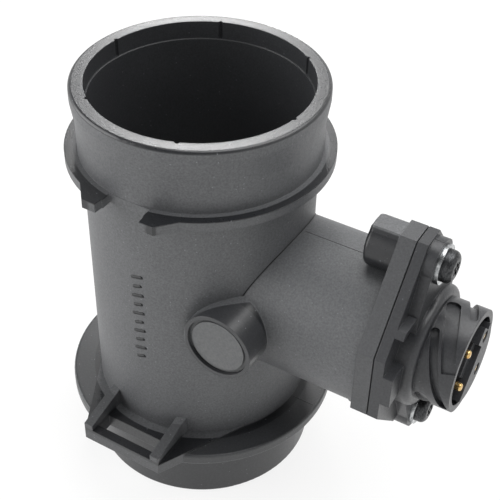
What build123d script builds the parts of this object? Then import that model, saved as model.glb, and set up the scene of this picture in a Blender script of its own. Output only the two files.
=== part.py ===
from build123d import *
import os
from math import cos, radians, sin, sqrt

# Plug-in hot-film mass airflow sensor in a straight moulded measuring tube.
# Frame: the tube's axis is +Z with the inlet spigot's rim at z = 0, the sensor branch points
# along +X, and the hose-clip lugs are on the -Y side.  Millimetres.

# ---- clearances between pieces ----
fit_gap = 0.1                 # between a round piece and the bore that it sits in
loose_gap = 0.3               # between pieces that are dropped in

# ---- measuring tube ----
bore_radius = 39.35
tube_wall = 2.9
tube_height = 166.4
neck_step = 1.45              # the neck between upper ring and bead is this much thicker
bead_step = 1.3               # and the bead this much more
bead_height = 4.4             # straight length at the rim
bead_rise = 8.8               # long taper from the neck up to the bead
bead_edge = 1.2
bead_root_radius = 22.0
rim_bore_step = 0.45          # slightly wider bore behind the outlet rim
rim_bore_depth = 6.9
rim_notch_count = 6
rim_notch_radius = 0.8
rim_notch_angle = 52.0
tube_radius = bore_radius + tube_wall
neck_radius = tube_radius + neck_step
bead_radius = neck_radius + bead_step
rim_bore_radius = bore_radius + rim_bore_step

# ---- upper ring with the two clip lugs ----
ring_step = 6.05              # how far the ring stands out from the tube
ring_drop = 25.0              # from the outlet rim down to the ring
ring_thickness = 3.5
ring_edge = 0.7
lug_step = 2.6                # how far the lugs stand out from the ring
lug_tip_inner = 8.8
lug_tip_outer = 14.1
lug_root_outer = 20.0
lug_slot_half_width = 8.1
lug_slot_step = 0.05          # the floor of the slot lies this far outside the neck
ring_radius = tube_radius + ring_step
ring_top = tube_height - ring_drop
ring_bottom = ring_top - ring_thickness
lug_reach = ring_radius + lug_step
lug_slot_reach = neck_radius + lug_slot_step

# ---- lower flange and inlet spigot ----
flange_step = 11.35           # how far the flange stands out from the tube
flange_top = 32.2
flange_thickness = 4.8
flange_edge = 1.0
spigot_wall = 3.03
spigot_edge = 1.4
inlet_flare = 2.55            # how much wider the inlet's mouth is than the bore
inlet_straight = 8.0          # straight length inside the spigot's rim
inlet_length = 27.0
flange_radius = tube_radius + flange_step
flange_bottom = flange_top - flange_thickness
inlet_radius = bore_radius + inlet_flare
spigot_radius = inlet_radius + spigot_wall

# ---- loop bracket for the spring clip, at the front of the lower flange ----
bracket_step = 4.9            # how far the bracket stands out from the flange
bracket_half_width = 17.15
bracket_rise = 1.0            # from the flange's top up to the bracket's
bracket_thickness = 4.7
bracket_bar_rise = 1.05
bracket_wing_x = 34.4
bracket_wing_y = 24.6
loop_bar = 3.6                # the bar in front of the loop
loop_width = 7.0
gusset_thickness = 3.75
gusset_tip_rise = 3.6
gusset_root_rise = 8.1
bracket_reach = flange_radius + bracket_step
bracket_top = flange_top + bracket_rise
bracket_bottom = bracket_top - bracket_thickness
bracket_bar_top = bracket_top + bracket_bar_rise
gusset_tip_height = bracket_top + gusset_tip_rise
gusset_root_height = bracket_top + gusset_root_rise
loop_front = bracket_reach - loop_bar
loop_back = loop_front - loop_width

# ---- round boss beside the branch, and the plug that closes it ----
boss_x = 32.1
boss_radius = 13.55
boss_reach = 41.2
boss_root = 12.0              # how near the tube's axis plane the boss starts
boss_wall = 1.6               # between the boss's rim and the plug's recess
pocket_depth = 5.0
plug_step_inset = 1.35        # the plug's raised middle is this much smaller than the recess
plug_step_height = 0.7
plug_sink = 0.8
pocket_radius = boss_radius - boss_wall
plug_step_radius = pocket_radius - plug_step_inset

# ---- sensor branch ----
axis_height = 88.8
branch_length = 37.75         # from the tube's outside to the back of the branch flange
branch_wall = 2.9
chamber_radius = 26.2
chamber_step = 3.75           # from the tube's outside to the floor of the chamber
guide_radius = 14.0           # bore that the probe's neck slides into
guide_wall = 3.0
guide_length = 6.0
branch_radius = chamber_radius + branch_wall
chamber_start = tube_radius + chamber_step
guide_end = chamber_start + guide_length

# ---- flange screws, washers and threaded inserts ----
washer_inset = 1.55           # the washer is this much smaller than the screw boss
washer_thickness = 1.5
screw_radius = 2.5
screw_run_out = 0.4           # how far the screw's end stands out of its threaded insert
screw_head_inset = 1.4
screw_head_height = 3.7
screw_head_edge = 2.3
drive_radius = 2.15
drive_lobe_radius = 0.62
drive_lobe_count = 6
drive_depth = 2.1
drive_pin_radius = 0.75
insert_wall = 1.1
insert_length = 11.0
insert_groove_width = 1.4
insert_groove_depth = 0.5

# ---- branch flange: a six-sided outline, shared by housing, gasket and plate ----
flange_plate_thickness = 6.1
outline_step = 1.4            # how far the upright sides stand out from the branch
outline_side_top = 14.2
outline_side_bottom = -12.8
outline_top_step = 9.3        # from the upper screw up to the short top edge
outline_top_half_width = 4.8
outline_bottom_step = 0.6     # from the lower screw up to the bottom edge
outline_bottom_half_width = 12.8
upper_screw_wall = 7.3        # between the chamber and the hole for the upper threaded insert
lower_screw_wall = 1.7
screw_boss_radius = 8.75
rear_boss_length = 10.8
rear_boss_step = 0.35         # how much wider the rear bosses are than those of the plate
rear_boss_edge = 1.4
rear_flat_drop = 0.4          # from the flange's top edge down to the flat on the upper rear boss
rear_flat_near = 4.0
rear_flat_far = -3.2
rear_flat_height = 3.0
rear_flat_root = 6.7
insert_radius = screw_radius + insert_wall
upper_screw_height = chamber_radius + upper_screw_wall + insert_radius
lower_screw_height = -(chamber_radius + lower_screw_wall + insert_radius)
flange_back = tube_radius + branch_length
flange_face = flange_back + flange_plate_thickness
outline_half_width = branch_radius + outline_step
outline_top = upper_screw_height + outline_top_step
outline_bottom = lower_screw_height + outline_bottom_step
rear_boss_start = flange_back - rear_boss_length
rear_boss_radius = screw_boss_radius + rear_boss_step
rear_flat_top = outline_top - rear_flat_drop
shoulder_slope = (outline_half_width - outline_top_half_width) / (outline_top - outline_side_top)

# ---- gasket and connector plate ----
gasket_thickness = 0.45
gasket_inset = 0.7
gasket_opening_step = 0.8     # how much wider the gasket's opening is than the chamber
plate_thickness = 3.75
plate_boss_height = 3.9
back_pocket_step = 1.7        # shoulder between the locating ring and the back pocket
plate_back_pocket_depth = 2.4
locating_ring_length = 5.0
locating_ring_wall = 2.2
drum_step = 3.7               # how far the drum stands out from the collar
drum_height = 7.1
drum_edge = 2.6
block_height = 3.5
block_top = 7.6
block_bottom = -5.0
rib_height = 3.2
rib_low = 21.2
rib_high = 23.5
rib_root = 12.0
web_outer = 8.6               # half width of the webs at the screw bosses
web_upper_end = (24.0, 14.7)
web_upper_root = (16.5, 15.2)
web_lower_end = (-17.5, 14.4)
plate_back = flange_face + gasket_thickness
plate_face = plate_back + plate_thickness
plate_boss_face = plate_face + plate_boss_height
drum_face = plate_face + drum_height
block_face = plate_face + block_height
rib_face = plate_face + rib_height
gasket_opening_radius = chamber_radius + gasket_opening_step
locating_ring_radius = chamber_radius - loose_gap
locating_ring_bore = locating_ring_radius - locating_ring_wall
plate_back_pocket_radius = locating_ring_bore - back_pocket_step

# ---- bayonet collar ----
collar_inset = 7.1            # the collar is this much narrower than the chamber
collar_wall = 2.5
collar_length = 20.2
socket_floor_height = 5.7     # above the plate's face
bayonet_count = 3
groove_rise = 0.107           # axial travel of every groove for each degree of turn
ramp_width = 4.9
ramp_depth = 1.2
ramp_start_angle = -8.0
ramp_start_depth = 10.4       # below the collar's mouth
ramp_turn = 75.0
keeper_width = 2.9
keeper_depth = 1.7
keeper_start_angle = 31.0
keeper_start_depth = 11.6
keeper_turn = 88.0
groove_end_gap = 0.02         # the round ends are this much wider than their groove
groove_end_sink = 0.08        # and this much deeper
collar_radius = chamber_radius - collar_inset
drum_radius = collar_radius + drum_step
collar_bore_radius = collar_radius - collar_wall
collar_end = plate_face + collar_length
socket_floor = plate_face + socket_floor_height
ramp_start_x = collar_end - ramp_start_depth
keeper_start_x = collar_end - keeper_start_depth

# ---- contacts ----
pin_count = 4
pin_circle_radius = 9.9
pin_first_angle = 35.0
pin_radius = 1.5
pin_tip_proud = 0.8           # beyond the collar's mouth
pin_tail_length = 3.55        # behind the plate's back
pin_collar_step = 0.8
pin_collar_length = 1.6
insert_thickness = 3.6
divider_depth = 1.1           # below the collar's mouth
divider_half_length = 6.7
divider_half_width = 2.9
divider_rib = 1.4
divider_rib_gap = 2.6         # from the socket's wall to the ends of the low ribs
divider_rib_height = 5.0
far_block_inset = 1.6         # raised block round the contact on the far side of the divider
far_block_edge = -2.0
far_block_proud = 1.1         # beyond the collar's mouth
key_block_near = 6.0
key_block_far = 12.4
key_block_high = 4.0
contact_well_step = 0.9       # gap between a contact and the wall of its well
contact_board_step = 4.1
contact_board_thickness = 1.0
contact_board_gap = 1.5       # from the contacts' tails to the board
divider_rib_reach = collar_bore_radius - divider_rib_gap
far_block_radius = collar_bore_radius - far_block_inset
pin_tip = collar_end + pin_tip_proud
pin_tail = plate_back - pin_tail_length
pin_collar_radius = pin_radius + pin_collar_step
contact_well_radius = pin_radius + contact_well_step
contact_board_radius = pin_circle_radius + contact_board_step
contact_board_face = pin_tail + contact_board_gap
socket_insert_face = socket_floor + insert_thickness
divider_face = collar_end - divider_depth
far_block_face = collar_end + far_block_proud

# ---- places of the screws and washers ----
washer_radius = screw_boss_radius - washer_inset
screw_head_radius = washer_radius - screw_head_inset
head_seat = plate_boss_face + washer_thickness
screw_length = head_seat - flange_face + insert_length + screw_run_out

# ---- plug-in probe ----
neck_reach = 2.75             # how far the probe's neck stands in the air path
probe_seal_set_back = 6.4     # from the guide's end back to the seal's seat
probe_seal_width = 3.2
probe_seal_depth = 2.0
head_inset = 1.8
head_thickness = 2.6
bay_end_gap = 7.1             # from the bay's end to the flange's face
bay_half_height = 17.0
bay_half_width = 10.5
bay_wall = 2.0
arm_chord = 20.0
arm_width = 7.0
duct_bore_radius = 9.0
duct_wall = 2.0
duct_length = 25.0
duct_mouth_edge = 1.4
saddle_depth = 5.0            # from the duct's outside to the saddle's face
saddle_margin = 1.0
neck_fit_radius = guide_radius - fit_gap
neck_tip = bore_radius - neck_reach
probe_seal_start = guide_end - probe_seal_set_back
probe_seal_seat_radius = guide_radius - probe_seal_depth
head_radius = chamber_radius - head_inset
bay_end = flange_face - bay_end_gap
duct_radius = duct_bore_radius + duct_wall
saddle_face = duct_radius + saddle_depth
saddle_height = arm_chord
saddle_width = arm_width + 2 * saddle_margin

# ---- measuring elements and electronics ----
element_width = 5.0
element_thickness = 0.6
element_spacing = 9.0
element_tip = -3.0
element_root_length = 3.0     # inside the arm
heat_sink_thickness = 2.0
spacer_thickness = 0.8
board_thickness = 0.8
board_margin = 1.0
driver_size = 7.0
driver_thickness = 2.4
cover_thickness = 1.4
flex_thickness = 0.3
flex_gap = 0.15
flex_width = 14.0
flex_straight = 1.4           # straight lengths of the flexible circuit before and after its slope
flex_bend_gap = 2.0
flex_lap = 5.0
contact_flex_width = 8.0
contact_flex_reach = 3.0
contact_flex_lap = 1.5

# ---- planes and stacked faces ----
# On the branch planes the first direction is up, the second is towards the lug side (-Y),
# and the normal is +X, so an angle is counted from the top towards the lug side.
branch = Plane(origin=(0, 0, axis_height), x_dir=(0, 0, 1), z_dir=(1, 0, 0))
element_root = saddle_face + element_root_length
bay_start = guide_end + head_thickness
bay_length = bay_end - bay_wall - bay_start
bay_inner = bay_half_height - bay_wall
bay_floor = bay_half_width - bay_wall
board_back = bay_floor - heat_sink_thickness - spacer_thickness
board_front = board_back - board_thickness
flex_half = flex_thickness / 2
flex_bend_start = neck_tip + flex_straight
flex_bend_end = guide_end - flex_bend_gap
element_flex_end = bay_start + board_margin + flex_lap
contact_flex_start = bay_end - bay_wall - board_margin - contact_flex_lap
screw_spots = ((upper_screw_height, 0), (lower_screw_height, 0))
screw_names = ("top", "bottom")


def groove_cutters(start_angle, start_x, turn, width, depth, closed):
    """Solids that cut a helical slot of constant width and depth around the collar.

    The start is round. A closed groove has a round finish too; an open one runs out of the mouth.
    """
    lead = groove_rise * turn
    path = Helix(groove_rise * 360, lead, collar_radius + loose_gap)
    frame = Plane(origin=path @ 0, x_dir=(1, 0, 0), z_dir=path % 0)
    slot = sweep(frame * Rectangle(2 * (depth + loose_gap), width), path, is_frenet=True)
    root = Plane(origin=(collar_radius - depth - groove_end_sink, 0, 0), z_dir=(1, 0, 0))
    round_end = extrude(root * Circle(width / 2 + groove_end_gap), 2 * depth + loose_gap)
    place = branch.offset(start_x) * Rot(0, 0, start_angle)
    cutters = [place * slot, place * round_end]
    if closed:
        cutters.append(place * Pos(0, 0, lead) * Rot(0, 0, turn) * round_end)
    return cutters


def flange_outline(inset=0.0):
    """The branch flange's outline: upright sides and slanted shoulders, longer above than below."""
    right_side = (
        (outline_top, outline_top_half_width),
        (outline_side_top, outline_half_width),
        (outline_side_bottom, outline_half_width),
        (outline_bottom, outline_bottom_half_width),
    )
    left_side = [(height, -width) for height, width in reversed(right_side)]
    return offset(Polygon(*right_side, *left_side, align=None, mode=Mode.PRIVATE), -inset,
                  kind=Kind.INTERSECTION, mode=Mode.PRIVATE)


def write(part, name):
    part.label = name
    export_step(part, "parts/" + name + ".step")


os.makedirs("parts", exist_ok=True)

# =====================================================================================
# rear screw bosses of the branch flange: round, the upper one with a flat along its top
# =====================================================================================
with BuildPart() as rear_bosses:
    with BuildSketch(branch.offset(rear_boss_start)):
        with Locations(*screw_spots):
            Circle(rear_boss_radius)
        Polygon(
            (rear_flat_top, rear_flat_near),
            (rear_flat_top, rear_flat_far),
            (rear_flat_top - rear_flat_height, -rear_flat_root),
            (rear_flat_top - rear_flat_height, rear_flat_root),
            align=None,
        )
    extrude(amount=flange_back - rear_boss_start + 1)
    fillet(rear_bosses.faces().sort_by(Axis.X)[:2].edges(), rear_boss_edge)

# =====================================================================================
# tube housing: one moulding
# =====================================================================================
with BuildPart() as housing:
    # tube with neck, bead, upper ring, lower flange and spigot, as one turned outline
    with BuildSketch(Plane.XZ) as outline:
        with BuildLine():
            Polyline(
                (0, 0),
                (spigot_radius, 0),
                (spigot_radius, flange_bottom),
                (flange_radius, flange_bottom),
                (flange_radius, flange_top),
                (tube_radius, flange_top),
                (tube_radius, ring_bottom),
                (ring_radius, ring_bottom),
                (ring_radius, ring_top),
                (neck_radius, ring_top),
                (neck_radius, tube_height - bead_height - bead_rise),
                (bead_radius, tube_height - bead_height),
                (bead_radius, tube_height),
                (0, tube_height),
                close=True,
            )
        make_face()
        corners = outline.vertices()
        flange_corners = corners.filter_by(lambda v: abs(v.X - flange_radius) < 1e-6)
        ring_corners = corners.filter_by(lambda v: abs(v.X - ring_radius) < 1e-6)
        fillet(flange_corners, flange_edge)
        fillet(ring_corners, ring_edge)
        neck_corners = outline.vertices().filter_by(lambda v: abs(v.X - neck_radius) < 1e-6)
        fillet(neck_corners.sort_by(Axis.Y)[-1], bead_root_radius)
        fillet(outline.vertices().sort_by(Axis.Y)[-2:].sort_by(Axis.X)[-1], bead_edge)
        fillet(outline.vertices().sort_by(Axis.Y)[:2].sort_by(Axis.X)[-1], spigot_edge)
    revolve(axis=Axis.Z)

    # clip lugs on the upper ring: two horns with a flat-bottomed slot between them
    with BuildSketch(Plane.XY.offset(ring_bottom)):
        for side in (1, -1):
            Polygon(
                (side * lug_slot_half_width, -tube_radius + 1),
                (side * lug_slot_half_width, -lug_slot_reach),
                (side * lug_tip_inner, -lug_reach),
                (side * lug_tip_outer, -lug_reach),
                (side * lug_root_outer, -sqrt(ring_radius**2 - lug_root_outer**2)),
                (side * lug_root_outer * 0.9, -tube_radius * 0.9),
                align=None,
            )
    extrude(amount=ring_thickness)
    with BuildSketch(Plane.XY.offset(ring_bottom)):
        with Locations((0, -lug_slot_reach)):
            Rectangle(2 * lug_slot_half_width, lug_reach, align=(Align.CENTER, Align.MAX))
    extrude(amount=ring_thickness, mode=Mode.SUBTRACT)

    # loop bracket: plate with wings that die into the tube
    with BuildSketch(Plane.XY.offset(bracket_bottom)):
        Polygon(
            (-bracket_half_width, -bracket_reach),
            (bracket_half_width, -bracket_reach),
            (bracket_wing_x, -bracket_wing_y),
            (-bracket_wing_x, -bracket_wing_y),
            align=None,
        )
    extrude(amount=bracket_top - bracket_bottom)
    with BuildSketch(Plane.XY.offset(bracket_bottom)):
        with Locations((0, -bracket_reach)):
            Rectangle(
                2 * bracket_half_width,
                bracket_reach - loop_front,
                align=(Align.CENTER, Align.MIN),
            )
    extrude(amount=bracket_bar_top - bracket_bottom)
    # two gussets that slope up from the bar to the tube
    for side in (1, -1):
        gusset_mid = side * (bracket_half_width - gusset_thickness / 2)
        with BuildSketch(Plane.YZ.offset(gusset_mid)):
            Polygon(
                (-bracket_reach, bracket_bottom),
                (-bracket_reach, gusset_tip_height),
                (-tube_radius * 0.9, gusset_root_height),
                (-tube_radius * 0.8, bracket_bottom),
                align=None,
            )
        extrude(amount=gusset_thickness / 2, both=True)
    # the loop itself, open right through
    with BuildSketch(Plane.XY.offset(bracket_bottom - flange_thickness)):
        with Locations((0, -(loop_front + loop_back) / 2)):
            Rectangle(2 * (bracket_half_width - gusset_thickness), loop_front - loop_back)
    extrude(amount=gusset_root_height, mode=Mode.SUBTRACT)

    # sensor branch, its flange and the two rear screw bosses
    with BuildSketch(branch.offset(0)):
        Circle(branch_radius)
    extrude(amount=flange_back + 1)
    add(rear_bosses.part)
    with BuildSketch(branch.offset(flange_back)):
        with Locations(screw_spots[1]):
            Circle(screw_boss_radius)
        add(flange_outline())
    extrude(amount=flange_face - flange_back)

    # round boss on the lug side of the branch
    with BuildSketch(Plane.XZ.offset(boss_reach)):
        with Locations((boss_x, axis_height)):
            Circle(boss_radius)
    extrude(amount=-boss_reach + boss_root)

    # air path through the tube: flared inlet, straight bore, wider rim bore
    with BuildSketch(Plane.XZ):
        with BuildLine():
            Polyline(
                (0, -1),
                (inlet_radius, -1),
                (inlet_radius, inlet_straight),
                (bore_radius, inlet_length),
                (bore_radius, tube_height - rim_bore_depth),
                (rim_bore_radius, tube_height - rim_bore_depth),
                (rim_bore_radius, tube_height + 1),
                (0, tube_height + 1),
                close=True,
            )
        make_face()
    revolve(axis=Axis.Z, mode=Mode.SUBTRACT)
    with BuildSketch(Plane.XY.offset(tube_height - rim_bore_depth)):
        with PolarLocations(rim_bore_radius, rim_notch_count, start_angle=rim_notch_angle):
            Circle(rim_notch_radius)
    extrude(amount=rim_bore_depth + 1, mode=Mode.SUBTRACT)

    # electronics chamber in the branch, with a guide for the probe's neck
    with BuildSketch(branch.offset(chamber_start)):
        Circle(chamber_radius)
    extrude(amount=flange_face, mode=Mode.SUBTRACT)
    with BuildSketch(branch.offset(chamber_start - 1)):
        Circle(guide_radius + guide_wall)
    extrude(amount=guide_end - chamber_start + 1)
    with BuildSketch(branch.offset(0)):
        Circle(guide_radius)
    extrude(amount=guide_end + 1, mode=Mode.SUBTRACT)

    # pockets for the threaded inserts, and the recess for the boss plug
    with BuildSketch(branch.offset(flange_face)):
        with Locations(*screw_spots):
            Circle(insert_radius)
    extrude(amount=-insert_length - 2 * loose_gap, mode=Mode.SUBTRACT)
    with BuildSketch(Plane.XZ.offset(boss_reach)):
        with Locations((boss_x, axis_height)):
            Circle(pocket_radius)
    extrude(amount=-pocket_depth, mode=Mode.SUBTRACT)

write(housing.part, "tube_housing")

# =====================================================================================
# plug in the round boss
# =====================================================================================
with BuildPart() as boss_plug:
    with BuildSketch(Plane.XZ.offset(boss_reach - pocket_depth)):
        with Locations((boss_x, axis_height)):
            Circle(pocket_radius - fit_gap)
    extrude(amount=pocket_depth - plug_sink - plug_step_height)
    with BuildSketch(Plane.XZ.offset(boss_reach - plug_sink - plug_step_height)):
        with Locations((boss_x, axis_height)):
            Circle(plug_step_radius)
    extrude(amount=plug_step_height)

write(boss_plug.part, "boss_plug")

# =====================================================================================
# gasket between the flange and the plate
# =====================================================================================
with BuildPart() as gasket:
    with BuildSketch(branch.offset(flange_face)):
        add(flange_outline(gasket_inset))
        with Locations(screw_spots[1]):
            Circle(screw_boss_radius - gasket_inset)
        Circle(gasket_opening_radius, mode=Mode.SUBTRACT)
        with Locations(*screw_spots):
            Circle(insert_radius + fit_gap, mode=Mode.SUBTRACT)
    extrude(amount=gasket_thickness)

write(gasket.part, "flange_gasket")

# =====================================================================================
# connector plate: cover plate, drum and bayonet collar in one moulding
# =====================================================================================
cutters = []
for turn in range(bayonet_count):
    step = turn * 360 / bayonet_count
    cutters += groove_cutters(
        ramp_start_angle + step, ramp_start_x, ramp_turn, ramp_width, ramp_depth, False
    )
    cutters += groove_cutters(
        keeper_start_angle + step, keeper_start_x, keeper_turn, keeper_width, keeper_depth, True
    )

with BuildPart() as plate:
    with BuildSketch(branch.offset(plate_back)):
        add(flange_outline())
    extrude(amount=plate_thickness)
    # screw bosses, with raised webs from them to the drum
    with BuildSketch(branch.offset(plate_back)):
        with Locations(*screw_spots):
            Circle(screw_boss_radius)
        Polygon(
            (upper_screw_height, web_outer),
            web_upper_end,
            web_upper_root,
            (web_upper_root[0], -web_upper_root[1]),
            (web_upper_end[0], -web_upper_end[1]),
            (upper_screw_height, -web_outer),
            align=None,
        )
        Polygon(
            (lower_screw_height, web_outer),
            web_lower_end,
            (web_lower_end[0], -web_lower_end[1]),
            (lower_screw_height, -web_outer),
            align=None,
        )
    extrude(amount=plate_boss_face - plate_back)
    # drum with a rounded shoulder
    with BuildSketch(branch.offset(plate_face)) as drum:
        Circle(drum_radius)
    extrude(amount=drum_face - plate_face)
    fillet(plate.edges().filter_by(GeomType.CIRCLE).filter_by(
        lambda e: abs(e.radius - drum_radius) < 1e-6).sort_by(Axis.X)[-1], drum_edge)
    # block at the upright side by the lugs, and a level rib from the upper web to the shoulder
    with BuildSketch(branch.offset(plate_face - 0.5)):
        with Locations(((block_top + block_bottom) / 2, outline_half_width)):
            Rectangle(
                block_top - block_bottom,
                outline_half_width - drum_radius / 2,
                align=(Align.CENTER, Align.MAX),
            )
    extrude(amount=block_face - plate_face + 0.5)
    with BuildSketch(branch.offset(plate_face - 0.5)):
        Polygon(
            (rib_low, rib_root),
            (rib_high, rib_root),
            (rib_high, outline_half_width - (rib_high - outline_side_top) * shoulder_slope),
            (rib_low, outline_half_width - (rib_low - outline_side_top) * shoulder_slope),
            align=None,
        )
    extrude(amount=rib_face - plate_face + 0.5)
    # collar and its socket
    with BuildSketch(branch.offset(plate_face)):
        Circle(collar_radius)
    extrude(amount=collar_end - plate_face)
    with BuildSketch(branch.offset(socket_floor)):
        Circle(collar_bore_radius)
    extrude(amount=collar_end, mode=Mode.SUBTRACT)
    # locating ring and back pocket
    with BuildSketch(branch.offset(plate_back - locating_ring_length)):
        Circle(locating_ring_radius)
        Circle(locating_ring_bore, mode=Mode.SUBTRACT)
    extrude(amount=locating_ring_length)
    with BuildSketch(branch.offset(plate_back)):
        Circle(plate_back_pocket_radius)
    extrude(amount=plate_back_pocket_depth, mode=Mode.SUBTRACT)
    # screw holes and contact holes
    with BuildSketch(branch.offset(plate_back - locating_ring_length)):
        with Locations(*screw_spots):
            Circle(screw_radius + loose_gap)
        with PolarLocations(pin_circle_radius, pin_count, start_angle=pin_first_angle):
            Circle(pin_radius + fit_gap)
    extrude(amount=collar_end, mode=Mode.SUBTRACT)
    # bayonet grooves: wide ramps that run out of the mouth, and narrow closed keepers
    for cutter in cutters:
        add(cutter, mode=Mode.SUBTRACT)

write(plate.part, "connector_plate")

# =====================================================================================
# contact insert in the socket, and the four contacts
# =====================================================================================
with BuildPart() as contact_insert:
    with BuildSketch(branch.offset(socket_floor)):
        Circle(collar_bore_radius - fit_gap)
    extrude(amount=insert_thickness)
    # raised divider between the contacts, with a groove along its face
    with BuildSketch(branch.offset(socket_insert_face)):
        with Locations(Rot(0, 0, -45)):
            Rectangle(2 * divider_half_length, 2 * divider_half_width)
    extrude(amount=divider_face - socket_insert_face)
    # low ribs that part the four cavities
    with BuildSketch(branch.offset(socket_insert_face)):
        with Locations(Rot(0, 0, -45)):
            Rectangle(divider_rib, 2 * divider_rib_reach)
            Rectangle(2 * divider_rib_reach, divider_rib)
    extrude(amount=divider_rib_height)
    # raised block on the far side and a key block beside the divider, each with a well
    with BuildSketch(branch.offset(socket_insert_face)):
        with Locations(Rot(0, 0, -45)):
            Circle(far_block_radius)
            with Locations((0, far_block_edge)):
                Rectangle(
                    3 * far_block_radius,
                    3 * far_block_radius,
                    align=(Align.CENTER, Align.MIN),
                    mode=Mode.SUBTRACT,
                )
            with Locations((key_block_near, key_block_high)):
                Rectangle(
                    key_block_far - key_block_near,
                    key_block_high - far_block_edge,
                    align=(Align.MIN, Align.MAX),
                )
    extrude(amount=far_block_face - socket_insert_face)
    with BuildSketch(branch.offset(socket_insert_face)):
        with PolarLocations(pin_circle_radius, pin_count, start_angle=pin_first_angle):
            Circle(contact_well_radius)
    extrude(amount=far_block_face - socket_insert_face, mode=Mode.SUBTRACT)
    with BuildSketch(branch.offset(socket_floor)):
        with PolarLocations(pin_circle_radius, pin_count, start_angle=pin_first_angle):
            Circle(pin_radius + fit_gap)
    extrude(amount=far_block_face - socket_floor, mode=Mode.SUBTRACT)

write(contact_insert.part, "contact_insert")

plate_pocket_face = plate_back + plate_back_pocket_depth
for number in range(pin_count):
    pin_angle = radians(pin_first_angle + number * 360 / pin_count)
    pin_spot = (pin_circle_radius * cos(pin_angle), pin_circle_radius * sin(pin_angle))
    with BuildPart() as contact:
        with BuildSketch(branch.offset(pin_tail)):
            with Locations(pin_spot):
                Circle(pin_radius)
        extrude(amount=pin_tip - pin_tail)
        fillet(contact.edges().sort_by(Axis.X)[-1], pin_radius * 0.6)
        with BuildSketch(branch.offset(plate_pocket_face - pin_collar_length)):
            with Locations(pin_spot):
                Circle(pin_collar_radius)
        extrude(amount=pin_collar_length)
    write(contact.part, "contact_pin_" + str(number + 1))

# =====================================================================================
# flange screws, washers and threaded inserts
# =====================================================================================
for spot, place in zip(screw_spots, screw_names):
    with BuildPart() as washer:
        with BuildSketch(branch.offset(plate_boss_face)):
            with Locations(spot):
                Circle(washer_radius)
                Circle(screw_radius + loose_gap / 2, mode=Mode.SUBTRACT)
        extrude(amount=washer_thickness)
    write(washer.part, "washer_" + place)

    with BuildPart() as screw:
        with BuildSketch(branch.offset(head_seat)):
            with Locations(spot):
                Circle(screw_head_radius)
        extrude(amount=screw_head_height)
        fillet(screw.edges().sort_by(Axis.X)[-1], screw_head_edge)
        with BuildSketch(branch.offset(head_seat - screw_length)):
            with Locations(spot):
                Circle(screw_radius)
        extrude(amount=screw_length)
        with BuildSketch(branch.offset(head_seat + screw_head_height)):
            with Locations(spot):
                Circle(drive_radius - drive_lobe_radius / 2)
                with PolarLocations(drive_radius, drive_lobe_count):
                    Circle(drive_lobe_radius)
                Circle(drive_pin_radius, mode=Mode.SUBTRACT)
        extrude(amount=-drive_depth, mode=Mode.SUBTRACT)
    write(screw.part, "screw_" + place)

    with BuildPart() as insert:
        with BuildSketch(branch.offset(flange_face - insert_length)):
            with Locations(spot):
                Circle(insert_radius - fit_gap)
        extrude(amount=insert_length)
        with BuildSketch(branch.offset(flange_face - insert_length / 2 - insert_groove_width / 2)):
            with Locations(spot):
                Circle(insert_radius)
                Circle(insert_radius - fit_gap - insert_groove_depth, mode=Mode.SUBTRACT)
        extrude(amount=insert_groove_width, mode=Mode.SUBTRACT)
        with BuildSketch(branch.offset(flange_face)):
            with Locations(spot):
                Circle(screw_radius + fit_gap / 2)
        extrude(amount=-insert_length, mode=Mode.SUBTRACT)
    write(insert.part, "threaded_insert_" + place)

# =====================================================================================
# plug-in probe: carrier with neck, arm and electronics bay
# =====================================================================================
with BuildPart() as carrier:
    with BuildSketch(branch.offset(neck_tip)):
        Circle(neck_fit_radius)
    extrude(amount=guide_end - neck_tip)
    with BuildSketch(branch.offset(guide_end)):
        Circle(head_radius)
    extrude(amount=head_thickness)
    # seat for the seal ring
    with BuildSketch(branch.offset(probe_seal_start)):
        Circle(guide_radius)
        Circle(probe_seal_seat_radius, mode=Mode.SUBTRACT)
    extrude(amount=probe_seal_width, mode=Mode.SUBTRACT)
    # arm that reaches into the air stream
    with BuildSketch(branch.offset(saddle_face)):
        RectangleRounded(arm_chord, arm_width, arm_width * 0.3)
    extrude(amount=neck_tip - saddle_face)
    # electronics bay, open towards the lug side
    with BuildSketch(branch.offset(bay_start)):
        Rectangle(2 * bay_half_height, 2 * bay_half_width)
    extrude(amount=bay_end - bay_start)
    with BuildSketch(Plane.XZ.offset(bay_half_width)):
        with Locations((bay_start, axis_height)):
            Rectangle(bay_length, 2 * bay_inner, align=(Align.MIN, Align.CENTER))
    extrude(amount=-2 * bay_half_width + bay_wall, mode=Mode.SUBTRACT)
    # slot for the flexible circuit, from the elements to the bay
    with BuildSketch(Plane.XY.offset(axis_height)):
        Polygon(
            (element_root, -flex_half - flex_gap),
            (element_root, flex_half + flex_gap),
            (flex_bend_start, flex_half + flex_gap),
            (flex_bend_end, board_front + flex_gap),
            (bay_start, board_front + flex_gap),
            (bay_start, board_front - flex_thickness - flex_gap),
            (flex_bend_end, board_front - flex_thickness - flex_gap),
            (flex_bend_start, -flex_half - flex_gap),
            align=None,
        )
    extrude(amount=flex_width / 2 + flex_gap, both=True, mode=Mode.SUBTRACT)
    # pocket for the roots of the two elements
    with BuildSketch(branch.offset(saddle_face)):
        Rectangle(element_spacing + element_width + 2 * fit_gap, element_thickness + 2 * fit_gap)
    extrude(amount=element_root - saddle_face, mode=Mode.SUBTRACT)
    # slot in the end wall for the flexible circuit to the contacts
    with BuildSketch(Plane.XY.offset(axis_height)):
        with Locations((bay_end, board_front - flex_thickness / 2)):
            Rectangle(
                2 * bay_wall,
                flex_thickness + 2 * flex_gap,
            )
    extrude(amount=contact_flex_width / 2 + flex_gap, both=True, mode=Mode.SUBTRACT)

write(carrier.part, "sensor_carrier")

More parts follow.
